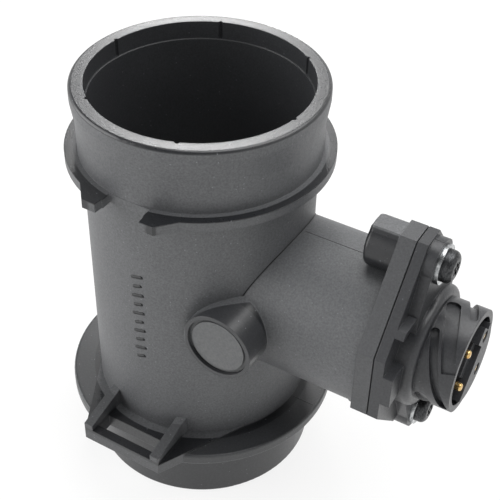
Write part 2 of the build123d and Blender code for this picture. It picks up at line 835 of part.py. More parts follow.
with BuildPart() as probe_seal:
    ring_section = (guide_radius - probe_seal_seat_radius) / 2
    with BuildSketch(Plane.XZ):
        with Locations((probe_seal_start + probe_seal_width / 2,
                        axis_height + probe_seal_seat_radius + ring_section)):
            Circle(ring_section - fit_gap / 2)
    revolve(axis=Axis((0, 0, axis_height), (1, 0, 0)))

write(probe_seal.part, "probe_seal")

# measuring duct across the middle of the tube
with BuildPart() as duct:
    with BuildSketch(Plane.XY.offset(axis_height - duct_length / 2)):
        Circle(duct_radius)
    extrude(amount=duct_length)
    with BuildSketch(Plane.YZ.offset(saddle_face)):
        with Locations((0, axis_height)):
            Rectangle(saddle_width, saddle_height)
    extrude(amount=-saddle_face + duct_bore_radius)
    with BuildSketch(Plane.XY.offset(axis_height - duct_length / 2)):
        Circle(duct_bore_radius)
    extrude(amount=duct_length, mode=Mode.SUBTRACT)
    mouth_edges = duct.edges().filter_by(GeomType.CIRCLE).filter_by(
        lambda e: abs(e.radius - duct_bore_radius) < 1e-6
    )
    chamfer([mouth_edges.sort_by(Axis.Z)[0], mouth_edges.sort_by(Axis.Z)[-1]], duct_mouth_edge)
    with BuildSketch(Plane.YZ.offset(saddle_face)):
        with Locations((0, axis_height + element_spacing / 2), (0, axis_height - element_spacing / 2)):
            Rectangle(element_thickness + 2 * fit_gap, element_width + 2 * fit_gap)
    extrude(amount=-saddle_face, mode=Mode.SUBTRACT)

write(duct.part, "measuring_duct")

# the two film elements, upstream and downstream
element_names = ("film_heater_element", "film_temperature_element")
for side, name in zip((-1, 1), element_names):
    with BuildPart() as element:
        with BuildSketch(Plane.YZ.offset(element_tip)):
            with Locations((0, axis_height + side * element_spacing / 2)):
                Rectangle(element_thickness, element_width)
        extrude(amount=element_root - element_tip)
    write(element.part, name)

# flexible circuit from the elements to the board
with BuildPart() as element_flex:
    with BuildSketch(Plane.XY.offset(axis_height)):
        Polygon(
            (element_root, -flex_half),
            (element_root, flex_half),
            (flex_bend_start, flex_half),
            (flex_bend_end, board_front),
            (element_flex_end, board_front),
            (element_flex_end, board_front - flex_thickness),
            (flex_bend_end, board_front - flex_thickness),
            (flex_bend_start, -flex_half),
            align=None,
        )
    extrude(amount=flex_width / 2, both=True)

write(element_flex.part, "element_flex")

# heat sink, spacer sheet and board, stacked on the floor of the bay
with BuildPart() as heat_sink:
    with BuildSketch(Plane.XZ.offset(-bay_floor)):
        with Locations((bay_start + bay_length / 2, axis_height)):
            Rectangle(bay_length - 2 * loose_gap, 2 * bay_inner - 2 * loose_gap)
    extrude(amount=heat_sink_thickness)
write(heat_sink.part, "heat_sink_plate")

with BuildPart() as spacer:
    with BuildSketch(Plane.XZ.offset(-bay_floor + heat_sink_thickness)):
        with Locations((bay_start + bay_length / 2, axis_height)):
            Rectangle(bay_length - 2 * board_margin, 2 * bay_inner - 2 * board_margin)
    extrude(amount=spacer_thickness)
write(spacer.part, "spacer_sheet")

with BuildPart() as board:
    with BuildSketch(Plane.XZ.offset(-board_back)):
        with Locations((bay_start + bay_length / 2, axis_height)):
            Rectangle(bay_length - 2 * board_margin, 2 * bay_inner - 2 * board_margin)
    extrude(amount=board_thickness)
write(board.part, "circuit_board")

with BuildPart() as driver:
    with BuildSketch(Plane.XZ.offset(-board_front)):
        with Locations((bay_start + bay_length * 0.62, axis_height)):
            Rectangle(driver_size, driver_size)
    extrude(amount=driver_thickness)
write(driver.part, "driver_stage")

with BuildPart() as cover:
    with BuildSketch(Plane.XZ.offset(bay_half_width)):
        with Locations((bay_start + bay_length / 2, axis_height)):
            Rectangle(bay_length - 2 * fit_gap, 2 * bay_inner - 2 * fit_gap)
    extrude(amount=-cover_thickness)
write(cover.part, "circuit_cover")

# contact board on the tails of the contacts, and its flexible circuit
with BuildPart() as contact_board:
    with BuildSketch(branch.offset(contact_board_face)):
        Circle(contact_board_radius)
        with PolarLocations(pin_circle_radius, pin_count, start_angle=pin_first_angle):
            Circle(pin_radius + fit_gap, mode=Mode.SUBTRACT)
    extrude(amount=contact_board_thickness)
write(contact_board.part, "contact_board")

with BuildPart() as contact_flex:
    with BuildSketch(Plane.XY.offset(axis_height)):
        Polygon(
            (contact_flex_start, board_front),
            (contact_board_face, board_front),
            (contact_board_face, -contact_flex_reach),
            (contact_board_face - flex_thickness, -contact_flex_reach),
            (contact_board_face - flex_thickness, board_front - flex_thickness),
            (contact_flex_start, board_front - flex_thickness),
            align=None,
        )
    extrude(amount=contact_flex_width / 2, both=True)
write(contact_flex.part, "contact_flex")
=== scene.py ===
from math import cos, pi, radians, sin

import bpy
import numpy as np
from mathutils import Matrix, Vector


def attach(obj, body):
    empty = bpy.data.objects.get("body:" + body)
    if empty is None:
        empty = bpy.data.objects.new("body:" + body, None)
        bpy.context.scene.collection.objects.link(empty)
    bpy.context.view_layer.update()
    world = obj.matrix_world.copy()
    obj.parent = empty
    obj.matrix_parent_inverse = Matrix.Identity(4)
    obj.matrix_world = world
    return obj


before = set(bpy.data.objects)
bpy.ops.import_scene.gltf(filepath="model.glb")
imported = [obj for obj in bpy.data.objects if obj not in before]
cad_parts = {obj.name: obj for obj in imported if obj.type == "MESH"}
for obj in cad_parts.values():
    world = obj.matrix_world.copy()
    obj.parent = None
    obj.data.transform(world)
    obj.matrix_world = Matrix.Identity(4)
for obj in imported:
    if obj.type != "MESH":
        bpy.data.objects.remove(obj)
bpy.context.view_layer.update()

MM = 0.001
MM_PER_METRE = 1000

# Sizes of the CAD model that the scene's own pieces and the housing's finishes follow, in
# millimetres.
TUBE_RADIUS = 42.25
AXIS_HEIGHT = 88.8
BRANCH_RADIUS = 29.1
BRANCH_FLANGE_BACK = 80.0
FLANGE_TOP = 32.2
SCREW_RISE = 37.1
SCREW_BOSS_RADIUS = 8.75


# ---------------------------------------------------------------- colours and nodes

def linear(code):
    """An sRGB hex colour as linear red, green and blue, with an alpha of 1."""
    values = []
    for start in (0, 2, 4):
        share = int(code[start:start + 2], 16) / 255
        values.append(share / 12.92 if share <= 0.04045 else ((share + 0.055) / 1.055) ** 2.4)
    return (*values, 1.0)


def add_node(tree, kind, inputs=None, **settings):
    """Adds a node to a tree: settings are its own values, inputs socket values or other sockets."""
    made = tree.nodes.new(kind)
    for name, value in settings.items():
        setattr(made, name, value)
    for name, value in (inputs or {}).items():
        socket = made.inputs[name]
        if isinstance(value, bpy.types.NodeSocket):
            tree.links.new(value, socket)
        else:
            socket.default_value = value
    return made


def new_material(name):
    """An empty node material: its tree and its object coordinates."""
    material = bpy.data.materials.new(name)
    material.use_nodes = True
    tree = material.node_tree
    tree.nodes.clear()
    place = add_node(tree, "ShaderNodeTexCoord").outputs["Object"]
    return material, tree, place


def set_stops(ramp, stops):
    """Gives a colour ramp its two stops: pairs of position and linear colour."""
    for element, (position, colour) in zip(ramp.color_ramp.elements, stops):
        element.position = position
        element.color = colour


def within(tree, value, low, high, soft_mm=0.3):
    """1 where a length in metres is between low and high in millimetres, else 0, with soft ends."""
    rise = add_node(tree, "ShaderNodeMapRange",
                    {"Value": value, "From Min": (low - soft_mm) * MM, "From Max": low * MM})
    fall = add_node(tree, "ShaderNodeMapRange",
                    {"Value": value, "From Min": high * MM, "From Max": (high + soft_mm) * MM,
                     "To Min": 1.0, "To Max": 0.0})
    return add_node(tree, "ShaderNodeMath", {0: rise.outputs[0], 1: fall.outputs[0]},
                    operation="MULTIPLY").outputs[0]


def combined(tree, operation, *shares):
    """Shares joined one after another by a maths operation."""
    joined = shares[0]
    for share in shares[1:]:
        joined = add_node(tree, "ShaderNodeMath", {0: joined, 1: share},
                          operation=operation).outputs[0]
    return joined


# Limits of the housing's finishes and of the light and shade painted on it, in millimetres:
# distances from the tube's axis, then heights.
BORE_EDGE = 40.4
SKIN_FROM = 40.8
BEAD_SIDE = 45.3
RING_SIDE = 52.0
FLANGE_SIDE = 53.8
BRACKET_SIDE = 75.0
BRANCH_SIDE = 29.4
FLANGE_UNDER = 26.0
SKIN_FLOOR = 33.0
RIM_FACE = 165.2
RING_UNDER, RING_FACE = 137.5, 141.0
ANY_LENGTH = 200.0


def housing_grain_and_painted_light(tree, place):
    """How strongly the housing is grained.

    1 on the tube, the branch and the flat of the upper rear boss, less on the sides of ring,
    flanges and bracket, on the round boss and in the bore, and 0 on what the tool leaves smooth:
    the rim, the upward faces of ring, lugs and bracket, and the rear bosses. As the share picks the
    lighter grained tone, part of it is painted light and shade: painted light on the lit flat of
    the upper rear boss and in the bore, and painted shade on the upward faces of ring and bracket,
    left darker than their sides.
    """
    flat = add_node(tree, "ShaderNodeMapping", {"Vector": place, "Scale": (1.0, 1.0, 0.0)})
    from_tube = add_node(tree, "ShaderNodeVectorMath", {0: flat.outputs[0]}, operation="LENGTH")
    beside = add_node(tree, "ShaderNodeMapping",
                      {"Vector": place, "Location": (0.0, 0.0, -AXIS_HEIGHT * MM),
                       "Scale": (0.0, 1.0, 1.0)})
    from_branch = add_node(tree, "ShaderNodeVectorMath", {0: beside.outputs[0]}, operation="LENGTH")
    axes = add_node(tree, "ShaderNodeSeparateXYZ", {"Vector": place})
    x, y, z = axes.outputs["X"], axes.outputs["Y"], axes.outputs["Z"]
    tube_away, branch_away = from_tube.outputs["Value"], from_branch.outputs["Value"]

    def zone(share, *spans):
        """A share inside all the spans, each a length with its low and high limit, else 0."""
        return combined(tree, "MULTIPLY", *(within(tree, *span) for span in spans), share)

    return combined(
        tree, "MAXIMUM",
        # tube and neck
        zone(1.0, (tube_away, SKIN_FROM, BEAD_SIDE), (z, SKIN_FLOOR, RIM_FACE)),
        # branch
        zone(1.0, (branch_away, -1.0, BRANCH_SIDE), (x, 30.0, BRANCH_FLANGE_BACK),
             (tube_away, SKIN_FROM, ANY_LENGTH)),
        # side of the upper ring, lighter than its upward face: painted light and shade
        zone(0.85, (tube_away, BEAD_SIDE, RING_SIDE), (z, RING_UNDER, RING_FACE)),
        # lower flange
        zone(0.28, (tube_away, BEAD_SIDE, FLANGE_SIDE), (z, FLANGE_UNDER, 32.6)),
        # side of the loop bracket, lighter than its top: painted light and shade
        zone(0.5, (tube_away, FLANGE_SIDE, BRACKET_SIDE), (z, FLANGE_UNDER, 32.8)),
        # gussets of the bracket
        zone(0.55, (tube_away, 43.0, BRACKET_SIDE), (z, 34.7, 60.0), (y, -90.0, -30.0)),
        # inlet spigot
        zone(0.2, (tube_away, SKIN_FROM, 50.0), (z, 0.5, 27.0)),
        # round boss
        zone(0.22, (y, -90.0, -30.0), (z, 50.0, 112.0)),
        # bore, lifted towards the grey skin: painted light
        zone(0.34, (tube_away, -1.0, BORE_EDGE), (x, -60.0, 40.0)),
        # flat of the upper rear boss, lit: painted light
        zone(1.0, (z, 134.4, 136.0), (x, 66.0, 80.2)),
        # branch flange
        zone(0.5, (x, 80.2, 100.0)))


# Shares of the fine grain and of the melt's wide flow in the mixture that picks the tone, the
# flow's width in millimetres, the mixture's values at the dark and at the light tone, and the
# fibres' colour.
GRAIN_WEIGHT = 0.78
FLOW_WEIGHT = 0.22
FLOW_MM = 26.0
DARK_STOP, LIGHT_STOP = 0.36, 0.64
FIBRE_COLOUR = "9a9da1"
# Sockets of the Mix node: its two colours and the mixed colour, and its two numbers.
FIRST_COLOUR, SECOND_COLOUR, MIXED_COLOUR = 6, 7, 2
FIRST_NUMBER, SECOND_NUMBER = 2, 3
# Cells of the fibre pattern are this many grains wide. A fibre is full up to the first distance
# from its cell's centre and gone past the second, in cells. Cells whose random value is under the
# third number hold no fibre, and those over the fourth a full one.
FIBRE_SPACING = 2.6
FIBRE_FULL, FIBRE_GONE = 0.05, 0.16
CELL_EMPTY, CELL_FILLED = 0.62, 0.8
# Values of a noise at which a finish is at one end and at the other of its range.
NOISE_LOW, NOISE_HIGH = 0.3, 0.7
PLASTIC_IOR = 1.55
PLASTIC_BUMP = 0.55
METAL_BUMP = 0.4
# How a metal's marks are drawn out, and their noise's values at the dark and at the light tone.
MARK_STRETCH = (3.0, 1.0, 1.0)
DARK_MARK, LIGHT_MARK = 0.35, 0.65
EDGE_SAMPLES = 4


def grained_plastic(name, dark, light, grain_mm, grain_depth, rough_low, rough_high, speck=0.0,
                    edge=0.35, gloss=0.5, grain_share=None, grain_dark="", grain_light="",
                    grain_rough=0.0):
    """Injection-moulded plastic with a spark-eroded grain.

    Two noises mix a dark and a light tone, a fine one for the grain and a wide one for the flow of
    the melt. A cell pattern adds sparse pale specks, which are glass fibres near the skin. The
    mixture drives the roughness too and the fine noise the bump, which starts from slightly
    rounded edges. Where grain_share is given, it says where the grained pair of tones and its extra
    roughness hold. A real grain is about 0.1 mm wide, too fine to show, so grain_mm is drawn
    several times as coarse.
    """
    material, tree, place = new_material(name)
    grain = add_node(tree, "ShaderNodeTexNoise",
                     {"Vector": place, "Scale": MM_PER_METRE / grain_mm, "Detail": 3.0,
                      "Roughness": 0.6})
    flow = add_node(tree, "ShaderNodeTexNoise",
                    {"Vector": place, "Scale": MM_PER_METRE / FLOW_MM, "Detail": 2.0,
                     "Roughness": 0.5})
    fine = add_node(tree, "ShaderNodeMath", {0: grain.outputs["Fac"], 1: GRAIN_WEIGHT},
                    operation="MULTIPLY")
    mixture = add_node(tree, "ShaderNodeMath",
                       {0: flow.outputs["Fac"], 1: FLOW_WEIGHT, 2: fine.outputs[0]},
                       operation="MULTIPLY_ADD")
    tone = add_node(tree, "ShaderNodeValToRGB", {"Fac": mixture.outputs[0]})
    set_stops(tone, ((DARK_STOP, linear(dark)), (LIGHT_STOP, linear(light))))
    base = tone.outputs["Color"]
    if grain_share:
        share = grain_share(tree, place)
        skin = add_node(tree, "ShaderNodeValToRGB", {"Fac": mixture.outputs[0]})
        set_stops(skin, ((DARK_STOP, linear(grain_dark)), (LIGHT_STOP, linear(grain_light))))
        cover = add_node(tree, "ShaderNodeMix", {"Factor": share}, data_type="RGBA")
        tree.links.new(base, cover.inputs[FIRST_COLOUR])
        tree.links.new(skin.outputs["Color"], cover.inputs[SECOND_COLOUR])
        base = cover.outputs[MIXED_COLOUR]
    cells = add_node(tree, "ShaderNodeTexVoronoi",
                     {"Vector": place, "Scale": MM_PER_METRE / (grain_mm * FIBRE_SPACING),
                      "Randomness": 1.0})
    near = add_node(tree, "ShaderNodeMapRange",
                    {"Value": cells.outputs["Distance"], "From Min": FIBRE_FULL,
                     "From Max": FIBRE_GONE, "To Min": 1.0, "To Max": 0.0})
    some = add_node(tree, "ShaderNodeMapRange",
                    {"Value": cells.outputs["Color"], "From Min": CELL_EMPTY,
                     "From Max": CELL_FILLED, "To Min": 0.0, "To Max": speck})
    spots = add_node(tree, "ShaderNodeMath", {0: near.outputs[0], 1: some.outputs[0]},
                     operation="MULTIPLY")
    colour = add_node(tree, "ShaderNodeMix", {"Factor": spots.outputs[0]}, data_type="RGBA")
    tree.links.new(base, colour.inputs[FIRST_COLOUR])
    colour.inputs[SECOND_COLOUR].default_value = linear(FIBRE_COLOUR)
    rough = add_node(tree, "ShaderNodeMapRange",
                     {"Value": mixture.outputs[0], "From Min": NOISE_LOW, "From Max": NOISE_HIGH,
                      "To Min": rough_high, "To Max": rough_low}).outputs[0]
    if grain_share:
        rough = add_node(tree, "ShaderNodeMath", {0: share, 1: grain_rough, 2: rough},
                         operation="MULTIPLY_ADD").outputs[0]
    soft_edge = add_node(tree, "ShaderNodeBevel", {"Radius": edge * MM}, samples=EDGE_SAMPLES)
    bump = add_node(tree, "ShaderNodeBump",
                    {"Strength": PLASTIC_BUMP, "Distance": grain_depth * MM,
                     "Height": grain.outputs["Fac"], "Normal": soft_edge.outputs[0]})
    shader = add_node(tree, "ShaderNodeBsdfPrincipled",
                      {"Base Color": colour.outputs[MIXED_COLOUR], "Roughness": rough,
                       "Normal": bump.outputs[0], "IOR": PLASTIC_IOR, "Specular IOR Level": gloss})
    add_node(tree, "ShaderNodeOutputMaterial", {"Surface": shader.outputs[0]})
    return material


def plated_metal(name, dark, light, wear_mm, rough_low, rough_high, bump_mm, edge=0.25):
    """A plated or treated metal: two tones and roughnesses from a stretched noise, and a bump."""
    material, tree, place = new_material(name)
    stretch = add_node(tree, "ShaderNodeMapping", {"Vector": place, "Scale": MARK_STRETCH})
    marks = add_node(tree, "ShaderNodeTexNoise",
                     {"Vector": stretch.outputs[0], "Scale": MM_PER_METRE / wear_mm, "Detail": 4.0,
                      "Roughness": 0.62})
    tone = add_node(tree, "ShaderNodeValToRGB", {"Fac": marks.outputs["Fac"]})
    set_stops(tone, ((DARK_MARK, linear(dark)), (LIGHT_MARK, linear(light))))
    rough = add_node(tree, "ShaderNodeMapRange",
                     {"Value": marks.outputs["Fac"], "From Min": NOISE_LOW, "From Max": NOISE_HIGH,
                      "To Min": rough_high, "To Max": rough_low})
    soft_edge = add_node(tree, "ShaderNodeBevel", {"Radius": edge * MM}, samples=EDGE_SAMPLES)
    bump = add_node(tree, "ShaderNodeBump",
                    {"Strength": METAL_BUMP, "Distance": bump_mm * MM,
                     "Height": marks.outputs["Fac"], "Normal": soft_edge.outputs[0]})
    shader = add_node(tree, "ShaderNodeBsdfPrincipled",
                      {"Base Color": tone.outputs["Color"], "Roughness": rough.outputs[0],
                       "Metallic": 1.0, "Normal": bump.outputs[0]})
    add_node(tree, "ShaderNodeOutputMaterial", {"Surface": shader.outputs[0]})
    return material


# ---------------------------------------------------------------- materials

# Polybutylene terephthalate with glass fibre, injection moulded. The spark-eroded tool gives the
# tube and the branch a matte grey skin with pale fibre specks, and the polished places stay nearly
# black and shine. Part of where the grey skin lies is painted light and shade: it is lighter on the
# sides of ring and bracket, on the flat of the upper rear boss and in the bore, and darker on the
# upward faces of ring and bracket.
housing_plastic = grained_plastic("pbt_glass_filled_housing", "161719", "212225", 0.7, 0.04,
                                  0.26, 0.34, speck=0.42, grain_share=housing_grain_and_painted_light,
                                  grain_dark="444547", grain_light="565759", grain_rough=0.2)
# The same polymer for the plug in the boss, grained like the tube: an even matte grey disc.
plug_plastic = grained_plastic("pbt_glass_filled_plug", "4b4c4e", "575858", 0.8, 0.02, 0.44, 0.54)
# The same polymer for the connector plate, from a smoother tool: darker, with a soft shine on its
# edges.
plate_plastic = grained_plastic("pbt_glass_filled_connector", "1b1c1f", "2d2e31", 0.8, 0.03,
                                0.32, 0.44, speck=0.2)
# The same polymer where the tool's parts meet and where its marks are polished, coloured near black
# as painted shadow along the raised lines: dark, thin lines.
line_plastic_with_painted_shadow = grained_plastic("pbt_smooth_line_with_painted_shadow", "0b0c0e", "151618", 0.8, 0.01, 0.4, 0.5,
                               gloss=0.35)
# Polyamide, dyed black and moulded, for the insert that holds the contacts: dark grey with sharp
# edges.
insert_plastic = grained_plastic("polyamide_contact_insert", "232427", "333437", 0.8, 0.03,
                                 0.35, 0.5)
# Polyphenylene sulphide, moulded, for the plug-in probe: black, hard and slightly shiny.
probe_plastic = grained_plastic("pps_probe", "141518", "232427", 0.9, 0.03, 0.35, 0.5)
# Nitrile rubber, pressed in a mould, for the gasket, the seal and the spacer sheet: black and dull.
seal_rubber = grained_plastic("nitrile_rubber_seal", "0f1012", "191a1c", 1.0, 0.04, 0.6, 0.8)
# Phosphor bronze contacts, turned and gold plated: warm, with bright rounded tips.
contact_gold = plated_metal("gold_plated_contact", "c0924c", "f3dca4", 1.2, 0.2, 0.38, 0.01)
# Steel washers, stamped and bright zinc plated: a pale ring with fine marks.
washer_zinc = plated_metal("zinc_plated_washer", "77797b", "c9cbcc", 1.5, 0.2, 0.36, 0.02)
# Steel screws, cold headed and phosphated: a dry dark coat that glints where it is thin.
screw_phosphate = plated_metal("phosphated_steel_screw", "27282a", "545556", 0.9, 0.28, 0.5, 0.05)
# Free-cutting brass, turned, for the threaded inserts: dull yellow.
insert_brass = plated_metal("brass_threaded_insert", "9b7a3d", "c9a75e", 1.2, 0.3, 0.45, 0.02)
# Rolled aluminium sheet for the heat sink: pale grey with faint rolling marks.
sink_aluminium = plated_metal("rolled_aluminium_plate", "a9acaf", "cfd1d3", 1.6, 0.3, 0.5, 0.02)
# Alumina ceramic, fired, for the film elements: off-white with a faint grain.
element_ceramic = grained_plastic("alumina_film_element", "b9b6ab", "d8d5cb", 1.0, 0.01, 0.4, 0.6)
# Polyimide film, cast and etched, for the flexible circuits: amber and glossy.
flex_polyimide = grained_plastic("polyimide_flex", "8a4f16", "a9661f", 1.2, 0.01, 0.2, 0.3)
# Glass-fibre laminate, pressed and coated with a green solder mask: satin.
board_laminate = grained_plastic("fr4_board", "17432a", "215c39", 1.0, 0.02, 0.3, 0.45)
# Epoxy moulding compound of the driver stage: black and dull.
chip_epoxy = grained_plastic("epoxy_moulded_chip", "141416", "202123", 0.8, 0.02, 0.5, 0.65)

FINISHES = {
    "tube_housing": housing_plastic,
    "boss_plug": plug_plastic,
    "flange_gasket": seal_rubber,
    "connector_plate": plate_plastic,
    "contact_insert": insert_plastic,
    **{f"contact_pin_{number}": contact_gold for number in (1, 2, 3, 4)},
    "washer_top": washer_zinc,
    "washer_bottom": washer_zinc,
    "screw_top": screw_phosphate,
    "screw_bottom": screw_phosphate,
    "threaded_insert_top": insert_brass,
    "threaded_insert_bottom": insert_brass,
    "sensor_carrier": probe_plastic,
    "probe_seal": seal_rubber,
    "measuring_duct": probe_plastic,
    "film_heater_element": element_ceramic,
    "film_temperature_element": element_ceramic,
    "element_flex": flex_polyimide,
    "heat_sink_plate": sink_aluminium,
    "spacer_sheet": seal_rubber,
    "circuit_board": board_laminate,
    "driver_stage": chip_epoxy,
    "circuit_cover": probe_plastic,
    "contact_board": board_laminate,
    "contact_flex": flex_polyimide,
}
for node_name, finish in FINISHES.items():
    node_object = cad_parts[node_name]
    node_object.data.materials.clear()
    node_object.data.materials.append(finish)


# ---------------------------------------------------------------- making pieces

def surface_piece(name, points, faces, finish):
    """A mesh piece from an array of points in millimetres and an array of faces."""
    mesh = bpy.data.meshes.new(name)
    mesh.from_pydata((points * MM).tolist(), [], faces)
    mesh.validate()
    mesh.update()
    mesh.shade_smooth()
    piece = bpy.data.objects.new(name, mesh)
    bpy.context.scene.collection.objects.link(piece)
    mesh.materials.append(finish)
    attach(piece, "root")
    return piece


def tube_faces(rings, columns):
    """Faces of rings of points, joined in order and closed by a fan to one point at each end.

    The rings' points come first, ring by ring, then the point before the first ring and the point
    after the last.
    """
    column = np.arange(columns)
    column_next = (column + 1) % columns
    ring = np.arange(rings - 1)[:, None] * columns
    corners = (ring + column, ring + column_next,
               ring + columns + column_next, ring + columns + column)
    quads = np.stack([c.reshape(-1) for c in corners], axis=1)
    last_ring = (rings - 1) * columns
    before, after = rings * columns + 0 * column, rings * columns + 1 + 0 * column
    first_fan = np.stack([before, column_next, column], axis=1)
    last_fan = np.stack([last_ring + column, last_ring + column_next, after], axis=1)
    return quads.tolist() + first_fan.tolist() + last_fan.tolist()


# Points across a ridge's hump, both ends included.
HUMP_POINTS = 9


def swept_ridge(name, path, outward, half_width, height, sink, finish, slot_name, round_mm=0.6):
    """A low raised line that follows a surface.

    Cross-section: a cosine hump, height * (1 + cos(pi u)) / 2 for u from -1 to 1 across, closed by
    a flat bottom that is sunk in the surface. Across is the direction of the path times outward.
    Along the path the width and the height are scaled by sqrt(1 - (1 - d / r) ** 2), d being the
    distance from the nearer end and r the rounding, so that both ends close to a point.
    """
    path = np.asarray(path, float)
    outward = np.broadcast_to(np.asarray(outward, float), path.shape)
    across = np.cross(np.gradient(path, axis=0), outward)
    across /= np.linalg.norm(across, axis=1)[:, None]
    steps = np.linalg.norm(np.diff(path, axis=0), axis=1)
    along = np.concatenate([[0.0], np.cumsum(steps)])
    near_end = np.minimum(along, along[-1] - along)
    share = np.clip(near_end / round_mm, 0, 1)
    scale = np.sqrt(1 - (1 - share) ** 2)[:, None]
    u = np.linspace(-1, 1, HUMP_POINTS)
    side = np.concatenate([u, u[::-1][1:-1]]) * half_width
    lift = np.concatenate([height * (1 + np.cos(pi * u)) / 2, np.zeros(HUMP_POINTS - 2)])
    points = (path[:, None, :] + across[:, None, :] * (scale * side)[:, :, None]
              + outward[:, None, :] * (scale * lift - sink)[:, :, None])
    rings, columns = len(path) - 2, len(side)
    corners = np.concatenate([points[1:-1].reshape(-1, 3), points[[0, -1], 0]])
    return surface_piece(name, corners, tube_faces(rings, columns), finish)


def eased(first, last, count):
    """Positions from first to last, closer together near both ends: (1 - cos(pi t)) / 2."""
    return first + (last - first) * (1 - np.cos(np.linspace(0, pi, count))) / 2


# ---------------------------------------------------------------- parting lines of the mould

# Every raised line below is drawn in the near-black line finish, which is painted shadow along it,
# and in the corner between tube and branch painted shade in the crease.
RIDGE_SINK = 0.05                 # how deep every raised line's flat bottom lies in the surface
STRAIGHT_LINE = (0.22, 0.12)      # half the width and the height of a straight parting line
CORNER_LINE = (0.3, 0.42)         # and of the line in the corner, which stands out of it
STRAIGHT_LINE_POINTS = 24         # points along a straight line, and along the line in the corner
CORNER_LINE_POINTS = 145


def parting_line_along_x(name, x_first, x_last, height_z, slot_name):
    """A parting line in the plane y = 0, straight along X at one height."""
    x = eased(x_first, x_last, STRAIGHT_LINE_POINTS)
    path = np.stack([x, 0 * x, 0 * x + height_z], axis=1)
    return swept_ridge(name, path, (0, 0, 1), *STRAIGHT_LINE, RIDGE_SINK, line_plastic_with_painted_shadow, slot_name)


parting_line_along_x("parting_line_branch", 43.4, 69.2, AXIS_HEIGHT + BRANCH_RADIUS,
                     "housing_plastic")
parting_line_along_x("parting_line_flange", 42.6, 52.4, FLANGE_TOP, "housing_plastic")
parting_line_along_x("parting_line_plate_boss", 90.4, 94.0,
                     AXIS_HEIGHT + SCREW_RISE + SCREW_BOSS_RADIUS, "plate_plastic")


def parting_line_round_branch(name, slot_name):
    """A line in the corner where the branch leaves the tube.

    The corner is where two round walls cross: y = r cos(a), z = h + r sin(a) and
    x = sqrt(R * R - y * y), for the angle a once round from the underside. R and r are the tube's
    and the branch's radius and h is the height of the branch's axis. Outward is the sum of both
    walls' normals, made one long.
    """
    turn_angle = np.linspace(-pi / 2, 3 * pi / 2, CORNER_LINE_POINTS)
    y = BRANCH_RADIUS * np.cos(turn_angle)
    x = np.sqrt(TUBE_RADIUS ** 2 - y ** 2)
    path = np.stack([x, y, AXIS_HEIGHT + BRANCH_RADIUS * np.sin(turn_angle)], axis=1)
    tube_normal = np.stack([x, y, 0 * x], axis=1) / TUBE_RADIUS
    branch_normal = np.stack([0 * x, np.cos(turn_angle), np.sin(turn_angle)], axis=1)
    outward = tube_normal + branch_normal
    outward /= np.linalg.norm(outward, axis=1)[:, None]
    return swept_ridge(name, path, outward, *CORNER_LINE, RIDGE_SINK, line_plastic_with_painted_shadow, slot_name)


parting_line_round_branch("parting_line_junction", "housing_plastic")

# ---------------------------------------------------------------- moulded strokes down the tube

# A row of plain slanted bars down the front of the tube, one under the other, long and short in
# turn. Sizes are in millimetres, and the slant is how far each end lies above or below the bar's
# middle.
STROKE_TOP = 107.5
STROKE_PITCH = 4.3
STROKE_COUNT = 10
STROKE_LENGTHS = (4.8, 3.4)
STROKE_SLANT = 0.9
STROKE_HALF_WIDTH = 0.85
STROKE_HEIGHT = 0.5
STROKE_ROUNDING = 0.5
STROKE_POINTS = 18
# The bars are drawn in the near-black line finish, which is painted shadow along them.
for number in range(STROKE_COUNT):
    middle = STROKE_TOP - number * STROKE_PITCH
    half_turn = STROKE_LENGTHS[number % 2] / 2 / TUBE_RADIUS
    turn_angle = eased(-pi / 2 - half_turn, -pi / 2 + half_turn, STROKE_POINTS)
    outward = np.stack([np.cos(turn_angle), np.sin(turn_angle), 0 * turn_angle], axis=1)
    path = outward * TUBE_RADIUS
    path[:, 2] = middle + np.linspace(-STROKE_SLANT, STROKE_SLANT, len(path))
    swept_ridge(f"moulded_stroke_{number + 1}", path, outward, STROKE_HALF_WIDTH, STROKE_HEIGHT,
                RIDGE_SINK, line_plastic_with_painted_shadow, "housing_plastic", round_mm=STROKE_ROUNDING)


# ---------------------------------------------------------------- floor, world, lamps

FLOOR_REACH = 8
floor_mesh = bpy.data.meshes.new("floor")
floor_corners = [(-1, -1), (1, -1), (1, 1), (-1, 1)]
floor_mesh.from_pydata([(x * FLOOR_REACH, y * FLOOR_REACH, 0) for x, y in floor_corners], [],
                       [(0, 1, 2, 3)])
floor = bpy.data.objects.new("floor", floor_mesh)
bpy.context.scene.collection.objects.link(floor)


def direct_rays(tree):
    """1 for camera, glossy and transmission rays, which see the white ground as white, else 0."""
    rays = add_node(tree, "ShaderNodeLightPath")
    seen = add_node(tree, "ShaderNodeMath",
                    {0: rays.outputs["Is Camera Ray"], 1: rays.outputs["Is Glossy Ray"]},
                    operation="MAXIMUM")
    shown = add_node(tree, "ShaderNodeMath",
                     {0: seen.outputs[0], 1: rays.outputs["Is Transmission Ray"]},
                     operation="MAXIMUM")
    return shown.outputs[0]


